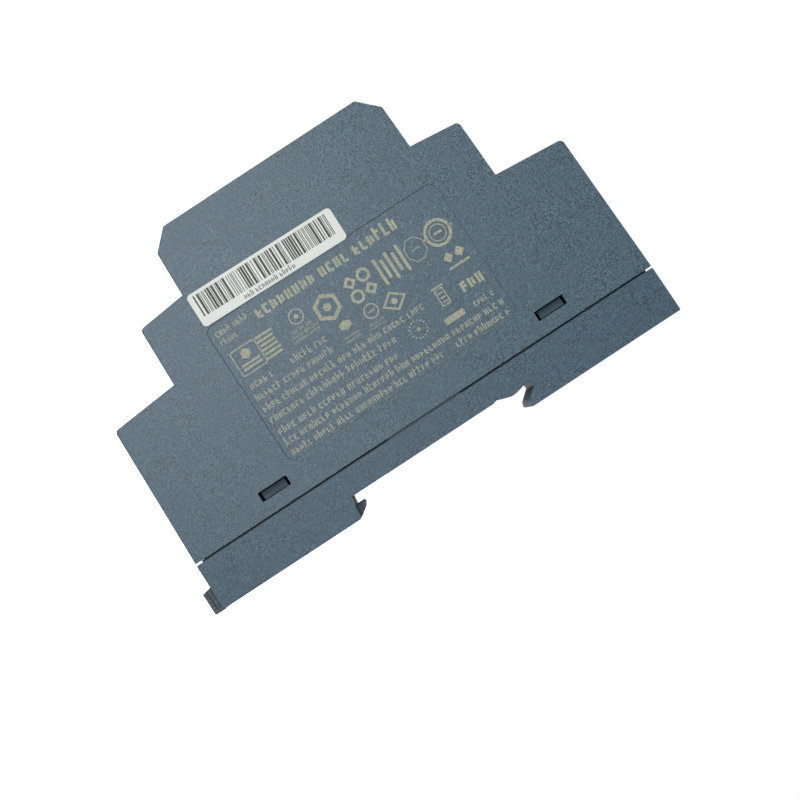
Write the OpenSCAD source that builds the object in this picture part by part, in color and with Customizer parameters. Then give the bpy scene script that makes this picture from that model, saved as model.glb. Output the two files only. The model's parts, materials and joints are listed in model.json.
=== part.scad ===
// DIN rail power supply, one module wide, with a stepped case.
// Axes: +Z is up the panel, -Y points out to the nose, X runs along the rail.
// Origin: middle of the rail, on the front face of its flanges.
// An outline is drawn as [y, z] points and extruded along X.

/* [Case] */
// Width of the unit along the rail
unit_w = 17.5; // [17.4:0.1:18]
// Height of the unit at its back plane
unit_h = 90; // [90:0.1:90.6]
// Depth from the floor of the rail notch to the nose
nose_d = 54.5; // [54.3:0.1:55]
// Height of the nose at its root
nose_h = 45; // [44.8:0.1:45.2]
// Height of the middle step at its root
mid_h = 63.5; // [63.4:0.1:63.7]
// Wall of the housing
wall = 1.3; // [1.2:0.05:1.35]
// Radius of the outer corners of the steps
corner_r = 0.8; // [0.4:0.1:1]
// Bevel on the two corners of the nose
nose_bevel = 3.3; // [3:0.1:3.5]
// Gap between the housing and the base
seam = 0.3; // [0.2:0.05:0.4]

/* [Rail] */
// Width of the rail across its flanges
rail_h = 35; // [34.9:0.1:35]
// Depth of the rail notch behind the flanges' front face
notch_back = 3.3; // [3.2:0.1:3.5]
// Depth of the notch floor in front of the flanges' front face
notch_floor = 0.6; // [0.5:0.05:0.65]
// How far the clip is pulled down to free the rail
clip_travel = 3.2; // [2.8:0.1:3.3]

/* [Terminals] */
// Distance of each pole from the middle plane
pole_x = 3.6; // [3.55:0.05:3.65]
// Height of the screw axes above and below the rail's middle
screw_z = 38; // [37.9:0.1:38.1]
// How far a clamp cage rises as its screw is tightened
cage_travel = 3.75; // [3:0.25:3.75]
// Radius of the screwdriver holes
driver_r = 2.6; // [2.5:0.05:2.7]
// Width of the square wire entries
entry_w = 4.6; // [4.5:0.1:4.7]

/* [Hidden] */
$fn = 48;

case_blue = [0.40, 0.46, 0.50];
clip_blue = [0.30, 0.35, 0.39];
steel = [0.72, 0.73, 0.74];
copper = [0.78, 0.45, 0.25];
chip_black = [0.10, 0.10, 0.11];

eps = 0.02;                              // face-to-face clearance between pieces
half_w = unit_w / 2;
half_h = unit_h / 2;
nose_y = -nose_d - notch_floor;          // front face of the nose
seam_y = nose_y + 49.72;                 // back edge of the housing
base_y = seam_y + seam;                  // shoulder of the base

// steps of the case, as depths behind the nose
root_d = 11.32;
mid_d = 12.32;
mid_root_d = 22.98;
end_d = 24.08;
nose_front = nose_h / 2 - 0.3;
mid_front = mid_h / 2 - 0.35;
end_front = half_h - 0.9;

// label recess on the two side faces, [y, z] of its middle and its size
recess = [nose_y + 31.19, -0.09];
recess_size = [26.07, 44.98];
recess_deep = 0.15;

// snap windows
window_y = nose_y + 46.38;
window_z = 27.2;
window_size = [1.7, 5.5];
tab_side = 0.5;                          // gap between a snap tab and each end of its window
lip_clear = 0.1;
lip = 1.2;                               // thickness of the lip inside the housing
lip_y = -10.2;                           // front edge of the lip
base_wall = wall + lip_clear + lip;

// circuit board
board_x = [-6.6, -5.0];
board_back = -10.5;
part_x = board_x[1] + eps;               // lowest point of parts on the board

// terminals, from the front to the back
ledge_y = -29.6;
ledge = 0.8;
cage_y = [ledge_y + ledge + cage_travel + 0.25, -15];
cage_w = 6;
cage_side = 0.8;
bridge = 1.4;
floor_t = 1;
bar_y = [-21, -20.2];
block_z = [33.2, 42.6];
block_back = -13.4;
entry_y = -18.1;
shank_r = 1.45;
head_r = 2.25;
head_h = 1.4;

// parts on the board
tx = [0.8, -21.6, 1.2];                  // middle of the transformer
input_cans = [for (z = [-11.8, -21.8]) [z, 4.8, -30.4, -15.4]];
output_cans = [for (z = [13.9, 22.4]) [z, 4, -30.2, -16]];
y_disc = [-15.2, 29.2, 3.4, 3];
varistor_disc = [-15.2, -29.2, 3.4, 3.4];
thermistor_disc = [nose_y + 7.4, -2.2, 3.2, 3];
choke = [part_x, nose_y + 18.6, -14.4];  // foot of the line choke's axis
drum = [part_x, nose_y + 18.6, 26.4];    // foot of the output inductor's axis
trimmer = [0, 8.6];                      // x and z of the trimmer's axis
led_z = 14.8;

// rail clip
clip_w = 8;
clip_y = [-0.3, 3.25];
tab_z = -47.4;
tab_y = [-0.98, 3.6];                    // front and back of the pull tab
rib_z = [-40.8, -20.5];
rib_w = 10;
rib_y = [0.8, 1.8];
post_z = [-38, -36.5];                   // post of the base that the spring stands on
spring_top = -25;                        // edge of the clip that the spring pushes
spring_bars = 6;

// ---------- helpers ----------

// Extrudes a [y, z] outline from x0 to x1.
module slab(x0, x1)
    translate([x0, 0, 0]) rotate([90, 0, 90]) linear_extrude(x1 - x0) children();

// A box given by its lowest and highest corner.
module block(lo, hi)
    translate(lo) cube(hi - lo);

// A cylinder along Y from y0 to y1.
module rod_y(x, z, r, y0, y1)
    translate([x, y0, z]) rotate([-90, 0, 0]) cylinder(r = r, h = y1 - y0);

// A cylinder along X from x0 to x1.
module rod_x(y, z, r, x0, x1)
    translate([x0, y, z]) rotate([0, 90, 0]) cylinder(r = r, h = x1 - x0);

// Draws at the upper end, or mirrored at the lower end.
module at_end(up)
    if (up) children();
    else mirror([0, 0, 1]) children();

function unit(v) = v / norm(v);
function turn(a) = a > 180 ? a - 360 : a < -180 ? a + 360 : a;

// The arc that rounds corner b between a and c. A corner is [y, z, radius].
function corner(a, b, c, steps) =
    b[2] == 0 ? [[b[0], b[1]]] :
    let (p = [b[0], b[1]],
         u = unit([a[0], a[1]] - p),
         v = unit([c[0], c[1]] - p),
         half = acos(u * v) / 2,
         mid = p + unit(u + v) * b[2] / sin(half),
         from = p + u * b[2] / tan(half) - mid,
         to = p + v * b[2] / tan(half) - mid,
         start = atan2(from[1], from[0]),
         sweep = turn(atan2(to[1], to[0]) - start))
    [for (i = [0:steps]) mid + b[2] * [cos(start + sweep * i / steps), sin(start + sweep * i / steps)]];

// An outline with its corners rounded.
function rounded(c, steps = 6) =
    let (n = len(c))
    [for (i = [0:n - 1]) each corner(c[(i + n - 1) % n], c[i], c[(i + 1) % n], steps)];

// Upper half of the stepped outline, moved inwards by t, from the nose to the back edge.
function half_case(t, r, back) = [
    [nose_y + t, nose_front - nose_bevel - 0.41 * t, r / 2],
    [nose_y + nose_bevel + 0.41 * t, nose_front - t, r / 2],
    [nose_y + root_d + t, nose_h / 2 - t, 0],
    [nose_y + mid_d + t, mid_front - t, r],
    [nose_y + mid_root_d + t, mid_h / 2 - t, 0],
    [nose_y + end_d + t, end_front - t, r],
    [back, half_h - 0.1 - t, 0]
];
function case_outline(t, r, back) =
    let (up = half_case(t, r, back), n = len(up))
    rounded(concat(up, [for (i = [n - 1:-1:0]) [up[i][0], -up[i][1], up[i][2]]]));

// A rectangle in [y, z] with round corners.
module round_rect(middle, size, r)
    translate(middle) polygon(rounded([
        for (s = [[1, 1], [-1, 1], [-1, -1], [1, -1]])
            [s[0] * size[0] / 2, s[1] * size[1] / 2, r]
    ]));

// ---------- case ----------

module wire_entries(up)
    at_end(up) for (x = [-pole_x, pole_x]) {
        funnel = 0.7;                    // the entry flares out by this much
        translate([x, entry_y, 41]) cube([entry_w, entry_w, 20], center = true);
        translate([x, entry_y, half_h - 0.3]) intersection() {
            rotate([90, 0, 0]) linear_extrude(10, center = true) flare(funnel);
            rotate([90, 0, 90]) linear_extrude(10, center = true) flare(funnel);
        }
    }

module flare(f)
    polygon([[-entry_w / 2, -f], [entry_w / 2, -f], [entry_w / 2 + 2 * f, f], [-entry_w / 2 - 2 * f, f]]);

module vents(up) at_end(up) {
    // slots in the end walls of the nose and of the middle step
    for (i = [0:2]) block([-5.5, nose_y + 4.6 + 2 * i, 19], [5.5, nose_y + 5.6 + 2 * i, 25]);
    for (i = [0:3]) block([-5.5, nose_y + 14.4 + 2 * i, 29], [5.5, nose_y + 15.4 + 2 * i, 33]);
}

module board_guides()
    // pairs of ribs that hold the board's edge between them
    for (up = [true, false]) at_end(up)
        for (x = [[-half_w + wall - 0.1, board_x[0] - 0.1], [board_x[1] + 0.1, board_x[1] + 0.8]])
            block([x[0], nose_y + 4, 19.4], [x[1], nose_y + 10, nose_front - wall + 0.2]);

module front_housing() color(case_blue) {
    difference() {
        slab(-half_w, half_w) polygon(case_outline(0, corner_r, seam_y));
        slab(-half_w + wall, half_w - wall) polygon(case_outline(wall, 0, seam_y + 1));
        for (s = [-1, 1]) {
            slab(s * half_w - recess_deep, s * half_w + recess_deep)
                round_rect(recess, recess_size, 1.5);
            for (z = [-window_z, window_z])
                slab(s * (half_w - wall / 2) - wall, s * (half_w - wall / 2) + wall)
                    round_rect([window_y, z], window_size, 0.15);
        }
        for (up = [true, false]) {
            wire_entries(up);
            vents(up);
            at_end(up) for (x = [-pole_x, pole_x])
                rod_y(x, screw_z, driver_r, nose_y + 20, ledge_y);
        }
        // label field, light guide and trimmer on the nose
        block([-7.2, nose_y - 1, -17.6], [7.2, nose_y + 0.15, 4.2]);
        rod_y(trimmer[0], trimmer[1], 2.2, nose_y - 1, nose_y + 3);
        rod_y(0, led_z, 1.55, nose_y - 1, nose_y + 3);
    }
    board_guides();
}

// ---------- base and rail clip ----------

function base_outline() = rounded([
    [base_y, half_h - 0.08, 0.2],
    [base_y, -half_h + 0.08, 0.2],
    [notch_back, -half_h, 0.2],
    [notch_back, -rail_h / 2 - 0.53, 0.1],
    [-notch_floor, -rail_h / 2 - 0.02, 0.15],
    [-notch_floor, 10.6, 0.5],
    [-notch_floor - 0.25, 11.4, 0.5],
    [0, 13.8, 0.6],
    [0, 14.7, 1.5],
    [-notch_floor + 0.1, rail_h / 2 - 0.7, 0.3],
    [-notch_floor + 0.1, rail_h / 2 + 0.15, 0.25],
    [0.5, rail_h / 2 + 0.4, 0.4],
    [2.2, 15.9, 0.6],
    [notch_back, 15.6, 0.3],
    [notch_back, half_h, 0.2]
]);

tray_floor = -1.85;
tray_deep = 1.9;                         // floor above the fixed hook
tray_top_z = 42.3;

module tray()
    // inside of the base, deeper above the fixed hook
    slab(-half_w + base_wall, half_w - base_wall)
        polygon([[-20, -tray_top_z], [tray_floor, -tray_top_z], [tray_floor, 19.6],
                 [tray_deep, 19.6], [tray_deep, tray_top_z], [-20, tray_top_z]]);

module snap_tab() {
    // wedge that springs into a window: its catch faces the rail, its ramp the nose
    root = half_w - wall - lip_clear - 0.3;
    face = half_w - 0.45;
    catch_y = window_y + window_size[0] / 2 - 0.17;
    linear_extrude(window_size[1] - 2 * tab_side, center = true)
        polygon([[root, catch_y], [face, catch_y], [face - 0.25, catch_y - 1.28], [root, catch_y - 1.5]]);
}

module tab_slots() {
    // slots in the lip on both sides of a snap tab, so that it can bend inwards
    slot_w = tab_side + 0.1;
    for (e = [-1, 1])
        block([half_w - base_wall - 0.1, lip_y - 1, e * (window_size[1] / 2 - tab_side + slot_w / 2) - slot_w / 2],
              [half_w - wall, window_y + window_size[0], e * (window_size[1] / 2 - tab_side + slot_w / 2) + slot_w / 2]);
}

module rear_base() color(case_blue) {
    difference() {
        union() {
            slab(-half_w, half_w) polygon(base_outline());
            // lip that goes inside the housing
            block([-half_w + wall + lip_clear, lip_y, -tray_top_z - 1],
                  [half_w - wall - lip_clear, base_y + 1, tray_top_z + 1]);
            // land that closes the seam in the middle
            for (s = [-1, 1])
                block([s * (half_w - 0.7) - 0.45, base_y - seam + eps, -7],
                      [s * (half_w - 0.7) + 0.45, base_y + 1, 7]);
            // rims that stand in the seam at the two ends
            for (z = [-43.5, 43.5])
                block([-half_w + wall + lip_clear, base_y - seam + eps, z - 0.4],
                      [half_w - wall - lip_clear, base_y + 1, z + 0.4]);
            for (s = [0, 1], z = [-window_z, window_z])
                mirror([s, 0, 0]) translate([0, 0, z]) snap_tab();
        }
        tray();
        for (s = [0, 1], z = [-window_z, window_z])
            mirror([s, 0, 0]) translate([0, 0, z]) tab_slots();
        // shallow grooves down the inner face of the fixed hook
        for (x = [-5.4, -1.8, 1.8, 5.4]) slab(x - 0.9, x + 0.9)
            polygon([[0.7, 16], [0.7, 17.95], [2, 16.4], [2, 15]]);
        // channel of the rail clip, with a groove on each side for its ribs
        block([-clip_w / 2 - 0.15, clip_y[0] - 0.15, -60], [clip_w / 2 + 0.15, 10, -rail_h / 2 + 0.3]);
        block([-rib_w / 2 - 0.15, rib_y[0] - 0.1, rib_z[0] - clip_travel - 0.1],
              [rib_w / 2 + 0.15, rib_y[1] + 0.1, rib_z[1] + 0.1]);
    }
    // post for the spring
    block([-2.2, clip_y[0] - 0.3, post_z[0]], [2.2, 2.4, post_z[1]]);
    // ribs that hold the terminal blocks in place
    for (rib = [[-37.5, tray_floor], [36.5, tray_deep]])
        block([-half_w + base_wall - 0.1, block_back + eps, rib[0]],
              [half_w - base_wall + 0.1, rib[1] + 0.1, rib[0] + 1]);
    // feet for the board's back edge
    for (z = [-22, 18]) difference() {
        block([-half_w + base_wall - 0.1, board_back - 0.9, z], [board_x[1] + 1, tray_floor + 0.1, z + 4]);
        block([board_x[0] - 0.05, -20, z - 1], [board_x[1] + 0.05, board_back + 0.05, z + 5]);
        block([-20, -20, z - 1], [board_x[0] - 0.04, lip_y + 0.1, z + 5]);
    }
}

module rail_clip() color(clip_blue)
    difference() {
        union() {
            slab(-clip_w / 2, clip_w / 2) polygon(rounded([
                [clip_y[0], -rail_h / 2 - 0.25, 0.1],
                [clip_y[0], -half_h - 0.1, 0],
                [tab_y[0], -half_h - 0.1, 0.1],
                [tab_y[0] + 0.48, tab_z, 0.2],
                [tab_y[1], tab_z, 0.3],
                [tab_y[1], tab_z + 1.9, 0.2],
                [clip_y[1], tab_z + 2.2, 0],
                [clip_y[1], -17.95, 0.3],
                [2.2, -16.5, 1],
                [1.05, -15.8, 0.35],
                [1.05, -rail_h / 2 - 0.25, 0.15]
            ]));
            block([-rib_w / 2, rib_y[0], rib_z[0]], [rib_w / 2, rib_y[1], rib_z[1]]);
        }
        // window for the spring, whose lower edge stops on the post
        block([-2.6, -5, post_z[0] - 0.05], [2.6, 10, spring_top]);
        // slot for a screwdriver, grip grooves beside it, and finger grooves across the back
        block([-2.3, -5, tab_z + 0.7], [2.3, 10, tab_z + 1.7]);
        for (s = [-1, 1], z = [0.75, 1.5])
            block([s * clip_w / 2 - 0.25, -5, tab_z + z], [s * clip_w / 2 + 0.25, 10, tab_z + z + 0.3]);
        for (i = [0:3]) block([-2.6, clip_y[1] - 0.35, -23.5 + 1.2 * i], [2.6, 10, -22.9 + 1.2 * i]);
    }

// Flat zigzag spring of the clip: straight bars joined at alternate ends.
module clip_spring() color(clip_blue) {
    bar = 0.7;
    reach = 1.1;
    low = post_z[1] + eps;
    pitch = (spring_top - eps - low - bar) / (spring_bars - 1);
    translate([0, 2.3, 0]) rotate([90, 0, 0]) linear_extrude(2.3)
        for (i = [0:spring_bars - 1]) {
            translate([-reach, low + pitch * i]) square([2 * reach, bar]);
            if (i < spring_bars - 1)
                translate([(i % 2 == 0 ? 1 : -1) * (reach - 0.05), low + pitch * (i + 0.5) + bar / 2])
                    difference() {
                        bend_r = (pitch + bar) / 2;
                        intersection() {
                            circle(bend_r);
                            translate([i % 2 == 0 ? 0 : -5, -5]) square([5, 10]);
                        }
                        circle(bend_r - bar);
                    }
        }
}

module serial_label() color("white")
    slab(half_w + 0.01, half_w + 0.11)
        translate([nose_y + 15.13, -8.28]) rotate(-0.9) round_rect([0, 0], [6, 27.9], 0.7);

// ---------- terminals ----------

module terminal_block(up) color([0.16, 0.17, 0.18]) at_end(up)
    difference() {
        block([-7.35, ledge_y, block_z[0]], [7.35, block_back, block_z[1]]);
        for (x = [-pole_x, pole_x]) {
            block([x - 3.1, ledge_y + ledge, block_z[0] + 1.2], [x + 3.1, block_back - 0.8, 50]);
            rod_y(x, screw_z, 1.7, -40, -25);
            block([x - 1.3, bar_y[0] - 0.1, 20], [x + 1.3, bar_y[1] + 0.1, 40]);
        }
    }

// Current bar of each pole, with a tail that turns down to the board.
module terminal_bars(up) color(copper) at_end(up)
    for (pole = [[-pole_x, 30.5], [pole_x, 28]]) {
        x = pole[0];
        block([x - 2, bar_y[0], 35.2], [x + 2, bar_y[1], 40.6]);
        block([x - 1, bar_y[0], pole[1] - 0.5], [x + 1, bar_y[1], 35.3]);
        block([board_x[0] + 1.8, bar_y[0], pole[1] - 0.5], [x + 0.5, bar_y[1], pole[1] + 0.5]);
        leg([(bar_y[0] + bar_y[1]) / 2, pole[1]], board_x[0] + 2);
    }

module clamp_screw(up, x) color(steel) at_end(up)
    difference() {
        union() {
            rod_y(x, screw_z, head_r, ledge_y - head_h - eps, ledge_y - eps);
            rod_y(x, screw_z, shank_r - 0.2, ledge_y - 0.1, bar_y[0] - 0.3);
            // thread as rings of the pitch
            for (y = [ledge_y + ledge + 0.4:0.5:bar_y[0] - 1])
                rod_y(x, screw_z, shank_r, y, y + 0.25);
        }
        // cross slot
        block([x - head_r, -40, screw_z - 0.3], [x + head_r, ledge_y - 0.6, screw_z + 0.3]);
        block([x - 0.3, -40, screw_z - 1.3], [x + 0.3, ledge_y - 0.6, screw_z + 1.3]);
    }

module clamp_cage(up, x) color([0.80, 0.76, 0.55]) at_end(up)
    difference() {
        block([x - cage_w / 2, cage_y[0], screw_z - 3], [x + cage_w / 2, cage_y[1], screw_z + 3]);
        block([x - cage_w / 2 + cage_side, cage_y[0] + bridge, screw_z - 4],
              [x + cage_w / 2 - cage_side, cage_y[1] - floor_t, screw_z + 4]);
        rod_y(x, screw_z, shank_r + 0.05, -40, -22);
        // ribs that grip the wire
        for (i = [-1:1]) block([x - 2.2, cage_y[1] - floor_t - 0.1, screw_z + 1.6 * i - 0.3],
                               [x + 2.2, cage_y[1] - floor_t + 0.2, screw_z + 1.6 * i + 0.3]);
    }

// ---------- circuit board ----------

// Where legs pass through the board, as [y, z].
bar_legs = [for (z = [-30.5, -28, 28, 30.5]) [(bar_y[0] + bar_y[1]) / 2, z]];
bobbin_legs = [for (s = [-1, 1], i = [-1.5:1.5]) [tx[1] + 6.7 * s, tx[2] + 3.4 * i]];
function can_legs(z, r, y1) = [for (s = [-1, 1]) [y1 + 0.6, z + s * r / 2]];
function disc_legs(y, z, r) = [for (s = [-1, 1]) [y + s * r * 0.6, z]];
fuse_legs = [[-29, -29.6], [-24, -29.6]];
x_capacitor_legs = [for (z = [-17.2, -7.2]) [nose_y + 6.7, z]];
choke_legs = [for (s = [-1, 1], z = [-3, 3]) [choke[1] + 4.5 * s, choke[2] + z]];
inductor_legs = [for (s = [-1, 1]) [drum[1] + 3 * s, drum[2]]];
rectifier_legs = [for (z = [13.7, 18.7]) [nose_y + 18.9, z]];
trimmer_legs = [for (i = [-1:1]) [nose_y + 5.3, trimmer[1] + 2 * i]];
led_legs = [for (s = [-1, 1]) [nose_y + 9.3, led_z + 0.9 * s]];
all_legs = concat(
    bar_legs, bobbin_legs, fuse_legs, x_capacitor_legs, choke_legs, inductor_legs,
    rectifier_legs, trimmer_legs, led_legs,
    [for (c = input_cans) each can_legs(c[0], c[1], c[3])],
    [for (c = output_cans) each can_legs(c[0], c[1], c[3])],
    [for (d = [y_disc, varistor_disc, thermistor_disc]) each disc_legs(d[0], d[1], d[2])]
);

// A leg from under the board up to x.
module leg(at, x, w = 0.6)
    block([board_x[0] - 0.4, at[0] - w / 2, at[1] - w / 2], [x, at[0] + w / 2, at[1] + w / 2]);

// Outline of the board, moved inwards by t.
function board_outline(t) =
    let (up = [[nose_y + 2 + t, 18.2 - t], [nose_y + 4.2, 20.4 - t],
               [nose_y + 14.2 + t, 20.4 - t], [nose_y + 14.2 + t, 29.6 - t],
               [nose_y + 25 + t, 29.6 - t], [nose_y + 25 + t, 32 - t], [board_back - t, 32 - t]])
    concat(up, [for (i = [len(up) - 1:-1:0]) [up[i][0], -up[i][1]]]);

module main_board() color([0.13, 0.33, 0.20])
    difference() {
        slab(board_x[0], board_x[1]) polygon(board_outline(0));
        for (at = all_legs) rod_x(at[0], at[1], 0.5, -10, 0);
    }

module insulating_sheet() color([0.93, 0.92, 0.85])
    slab(-half_w + wall + 0.05, -half_w + wall + 0.25) polygon(board_outline(1.2));

// Small surface-mounted resistors and capacitors on the open strips of the board.
module chip_parts() color([0.25, 0.22, 0.2]) {
    for (i = [0:5]) block([part_x, -13.2, -24 + 3.2 * i], [part_x + 0.5, -12, -22 + 3.2 * i]);
    for (i = [0:3]) block([part_x, -12.9, 3.5 + 3.2 * i], [part_x + 0.8, -11.7, 5.5 + 3.2 * i]);
    for (i = [0:2]) block([part_x, nose_y + 9.2 + 1.4 * i, 0.2], [part_x + 0.5, nose_y + 10 + 1.4 * i, 1.8]);
}

module transformer_core() color([0.20, 0.20, 0.21])
    for (s = [-1, 1]) translate(tx) {
        // one E half on each side of a hair gap
        mirror([0, s < 0 ? 1 : 0, 0]) {
            block([-2.4, 5.6, -8], [2.4, 7.8, 8]);
            block([-2.4, 0.02, -2], [2.4, 5.7, 2]);
            for (z = [-8, 6]) block([-2.4, 0.02, z], [2.4, 5.7, z + 2]);
        }
    }

module transformer_bobbin() color([0.12, 0.12, 0.13]) {
    translate(tx) difference() {
        union() {
            block([-3.2, -5.5, -2.8], [3.2, 5.5, 2.8]);
            for (s = [-1, 1]) mirror([0, s < 0 ? 1 : 0, 0]) {
                block([-5.6, 4.7, -5.8], [5.6, 5.5, 5.8]);
                // pin rail towards the board
                block([-5.6, 4.8, -6.6], [-3.6, 8, 6.6]);
            }
        }
        block([-2.45, -20, -2.05], [2.45, 20, 2.05]);
    }
    for (at = bobbin_legs) leg(at, tx[0] - 5);
}

module transformer_winding() color([0.86, 0.72, 0.22])
    translate(tx) rotate([90, 0, 0]) linear_extrude(9.2, center = true) difference() {
        polygon(rounded([[-5.2, -5.5, 1.6], [5.2, -5.5, 1.6], [5.2, 5.5, 1.6], [-5.2, 5.5, 1.6]]));
        square([6.44, 5.64], center = true);
    }

// A can capacitor lying along Y, with its vent end at y0. It is given as [z, radius, y0, y1].
module can(c) {
    z = c[0];
    r = c[1];
    y0 = c[2];
    y1 = c[3];
    difference() {
        rod_y(part_x + r, z, r, y0, y1);
        translate([part_x + r, y1 - 1.8, z]) rotate([-90, 0, 0]) rotate_extrude()
            polygon([[r - 0.35, 0.3], [r + 1, -0.1], [r + 1, 0.7]]);
        block([part_x + r - 0.1, y0 - 1, z - r * 0.6], [part_x + r + 0.1, y0 + 0.15, z + r * 0.6]);
        block([part_x + r * 0.4, y0 - 1, z - 0.1], [part_x + r * 1.6, y0 + 0.15, z + 0.1]);
    }
    for (s = [-1, 1]) block([part_x + r - 0.3, y1 - 0.1, z + s * r / 2 - 0.3],
                            [part_x + r + 0.3, y1 + 0.9, z + s * r / 2 + 0.3]);
    for (at = can_legs(z, r, y1)) leg(at, part_x + r);
}

module input_capacitors() color([0.12, 0.13, 0.2])
    for (c = input_cans) can(c);

module output_capacitors() color([0.14, 0.28, 0.2])
    for (c = output_cans) can(c);

module line_choke_core() color([0.22, 0.35, 0.24])
    translate(choke) rotate([0, 90, 0]) rotate_extrude() translate([2.4, 1]) square([2, 4]);

module line_choke_windings() color(copper) {
    for (at = choke_legs) leg(at, choke[0] + 1.5, 0.5);
    translate(choke) rotate([0, 90, 0])
        for (a = [-60, 120]) rotate([0, 0, a]) rotate_extrude(angle = 120) difference() {
            translate([1.8, 0.4]) square([3.2, 5.2]);
            translate([2.35, 0.95]) square([2.1, 4.1]);
        }
}

module x_capacitor() color([0.85, 0.75, 0.2]) {
    block([part_x, nose_y + 3.6, -18.6], [part_x + 10.6, nose_y + 9.8, -5.8]);
    for (at = x_capacitor_legs) leg(at, part_x + 1);
}

// A disc part standing on the board on two legs. It is given as [y, z, radius, thickness].
module disc(d) {
    x0 = part_x + 1.5;
    translate([x0 + d[2], d[0], d[1] - d[3] / 2]) cylinder(r = d[2], h = d[3]);
    for (at = disc_legs(d[0], d[1], d[2])) leg(at, x0 + d[2], 0.5);
}

module y_capacitor() color([0.2, 0.45, 0.75]) disc(y_disc);
module surge_varistor() color([0.15, 0.4, 0.7]) disc(varistor_disc);
module inrush_thermistor() color([0.25, 0.42, 0.2]) disc(thermistor_disc);

module fuse() color([0.15, 0.13, 0.12]) {
    block([part_x, -30.2, -31.6], [part_x + 7.7, -22.6, -27.6]);
    for (at = fuse_legs) leg(at, part_x + 1);
}

// A flat chip package with gull legs on its two long sides, along Y.
module package(lo, hi, legs) {
    block([part_x + 0.1, lo[0], lo[1]], [part_x + 0.1 + hi[2], hi[0], hi[1]]);
    step = (hi[1] - lo[1]) / legs;
    for (i = [0:legs - 1], s = [0, 1]) {
        z = lo[1] + step * (i + 0.5);
        y = s == 0 ? lo[0] - 0.9 : hi[0] - 0.1;
        block([part_x, y, z - 0.25], [part_x + 0.25, y + 1, z + 0.25]);
        block([part_x, s == 0 ? lo[0] - 0.3 : hi[0] - 0.1, z - 0.25],
              [part_x + hi[2] / 2, s == 0 ? lo[0] + 0.1 : hi[0] + 0.3, z + 0.25]);
    }
}

module bridge_rectifier() color(chip_black) package([nose_y + 15.4, -28.4], [nose_y + 21.8, -20.2, 2.5], 2);
module power_switch() color(chip_black) package([nose_y + 15.4, -8.2], [nose_y + 21.8, 1.4, 3.4], 4);
module optocoupler() color([0.85, 0.85, 0.82]) package([nose_y + 15.6, 3.4], [nose_y + 21.8, 8, 3.5], 2);
module control_chip() color(chip_black) package([nose_y + 4.8, 16], [nose_y + 8.8, 18.8, 1.5], 2);

module heat_spreader() color([0.75, 0.76, 0.78])
    difference() {
        union() {
            block([part_x, nose_y + 21.4, 10.4], [part_x + 11, nose_y + 22.6, 23.4]);
            block([part_x, nose_y + 14.2, 22.2], [part_x + 11, nose_y + 21.5, 23.4]);
        }
        rod_y(part_x + 8.4, 16.2, 1.6, nose_y + 20, nose_y + 24);
    }

module output_rectifier() color(chip_black) {
    difference() {
        union() {
            // moulded body, then its metal tab
            block([part_x + 0.6, nose_y + 17.2, 11.4], [part_x + 6, nose_y + 21.4 - eps, 21]);
            block([part_x + 5.9, nose_y + 20.2, 11.4], [part_x + 10.8, nose_y + 21.4 - eps, 21]);
        }
        rod_y(part_x + 8.4, 16.2, 1.6, nose_y + 19, nose_y + 24);
    }
    for (at = rectifier_legs) leg(at, part_x + 1);
}

module rectifier_screw() color(steel)
    difference() {
        union() {
            rod_y(part_x + 8.4, 16.2, 1.5, nose_y + 19, nose_y + 23.6);
            rod_y(part_x + 8.4, 16.2, 2.2, nose_y + 18.4, nose_y + 20.2 - eps);
        }
        block([part_x + 6, nose_y + 18, 15.9], [part_x + 11, nose_y + 18.9, 16.5]);
    }

module output_inductor_core() color([0.25, 0.25, 0.26])
    translate(drum) rotate([0, 90, 0]) rotate_extrude()
        polygon([[0, 0], [2.6, 0], [2.6, 0.9], [1.2, 0.9], [1.2, 6.1], [2.6, 6.1], [2.6, 7], [0, 7]]);

module output_inductor_winding() color(copper) {
    translate(drum) rotate([0, 90, 0]) rotate_extrude() translate([1.25, 0.95]) square([1.05, 5.1]);
    for (at = inductor_legs) leg(at, drum[0] + 1.5, 0.5);
    // the wire's ends pass over the lower flange
    block([drum[0] + 1, drum[1] - 3.2, drum[2] - 0.25], [drum[0] + 1.5, drum[1] - 2, drum[2] + 0.25]);
    block([drum[0] + 1, drum[1] + 2, drum[2] - 0.25], [drum[0] + 1.5, drum[1] + 3.2, drum[2] + 0.25]);
}

module trimmer_body() color([0.2, 0.35, 0.7]) {
    difference() {
        block([part_x, nose_y + 2.2, trimmer[1] - 3.1], [trimmer[0] + 3.1, nose_y + 6.4, trimmer[1] + 3.1]);
        rod_y(trimmer[0], trimmer[1], 2.05, nose_y, nose_y + 4.2);
    }
    for (at = trimmer_legs) leg(at, part_x + 0.5);
}

module trimmer_rotor() color([0.92, 0.9, 0.85])
    difference() {
        rod_y(trimmer[0], trimmer[1], 1.95, nose_y + 0.9, nose_y + 4.1);
        block([-1.5, nose_y, trimmer[1] - 0.25], [1.5, nose_y + 1.6, trimmer[1] + 0.25]);
        block([-0.25, nose_y, trimmer[1] - 1.5], [0.25, nose_y + 1.6, trimmer[1] + 1.5]);
    }

module status_led() color([0.5, 0.8, 0.4]) {
    rod_y(0, led_z, 1.45, nose_y + 4.4, nose_y + 7.6);
    rod_y(0, led_z, 1.7, nose_y + 7.5, nose_y + 8.5);
    for (at = led_legs) {
        leg(at, 0.2, 0.5);
        block([-0.3, nose_y + 8.4, at[1] - 0.25], [0.2, at[0] + 0.25, at[1] + 0.25]);
    }
}

module light_guide() color([0.85, 0.9, 0.85]) {
    rod_y(0, led_z, 1.5, nose_y + 0.05, nose_y + 4.2);
    rod_y(0, led_z, 2, nose_y + wall + 0.05, nose_y + 2.2);
}

// ---------- nodes ----------

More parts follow.
